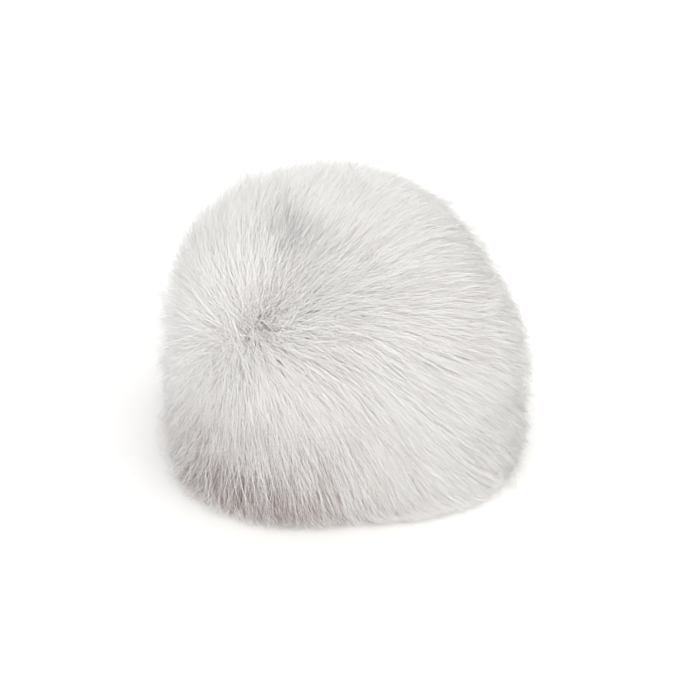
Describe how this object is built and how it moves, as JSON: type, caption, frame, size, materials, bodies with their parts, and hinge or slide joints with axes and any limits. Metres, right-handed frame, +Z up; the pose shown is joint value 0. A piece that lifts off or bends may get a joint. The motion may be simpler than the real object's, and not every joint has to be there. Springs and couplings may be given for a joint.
{
  "type": "furry windscreen",
  "caption": "Soft box-shaped furry windscreen: a lift-off long-pile cover over a stiff open basket with a foam sleeve, on a flat base with a rubber microphone bush.",
  "frame": {"origin": "middle of the base's flat underside, at the bottom centre of the whole object", "axes": "+Z up, the way the cover lifts off; +X along the longer side; -Y is the front"},
  "size_m": [0.13, 0.118, 0.106],
  "materials": {
    "fur_pile": "white long-pile synthetic fur, soft and matt",
    "fur_backing": "knitted backing of the fur",
    "hem_tape": "woven binding tape",
    "elastic": "flat woven elastic",
    "cage_plastic": "finely textured moulded plastic",
    "clip_plastic": "satin moulded plastic",
    "base_plastic": "finely textured moulded plastic",
    "acoustic_mesh": "fine woven acoustic mesh",
    "foam": "open-cell foam",
    "bush_rubber": "matt soft rubber",
    "screw_steel": "zinc-plated steel"
  },
  "bodies": {
    "basket": {"cage_lower": "cage_plastic", "cage_upper": "cage_plastic", "waist_clip_front": "clip_plastic", "waist_clip_back": "clip_plastic", "waist_clip_left": "clip_plastic", "waist_clip_right": "clip_plastic", "mesh_lower": "acoustic_mesh", "mesh_upper": "acoustic_mesh", "foam_sleeve": "foam", "base_plate": "base_plastic", "mic_bush": "bush_rubber", "base_screw_1": "screw_steel", "base_screw_2": "screw_steel", "base_screw_3": "screw_steel", "base_screw_4": "screw_steel"},
    "clamp": {"clamp_ring": "clip_plastic"},
    "fur_cover": {"fur_panel_front": "fur_pile", "fur_panel_back": "fur_pile", "fur_panel_left": "fur_pile", "fur_panel_right": "fur_pile", "fur_panel_top": "fur_pile", "hem_band": "hem_tape", "hem_elastic": "elastic"}
  },
  "joints": [
    {"name": "cover_lift", "type": "slide", "parent": "basket", "child": "fur_cover", "axis": [0, 0, 1], "range_m": [0, 0.11]},
    {"name": "clamp_turn", "type": "hinge", "parent": "basket", "child": "clamp", "pos_m": [0, 0, 0.002], "axis": [0, 0, 1], "range_deg": [0, 60]}
  ]
}
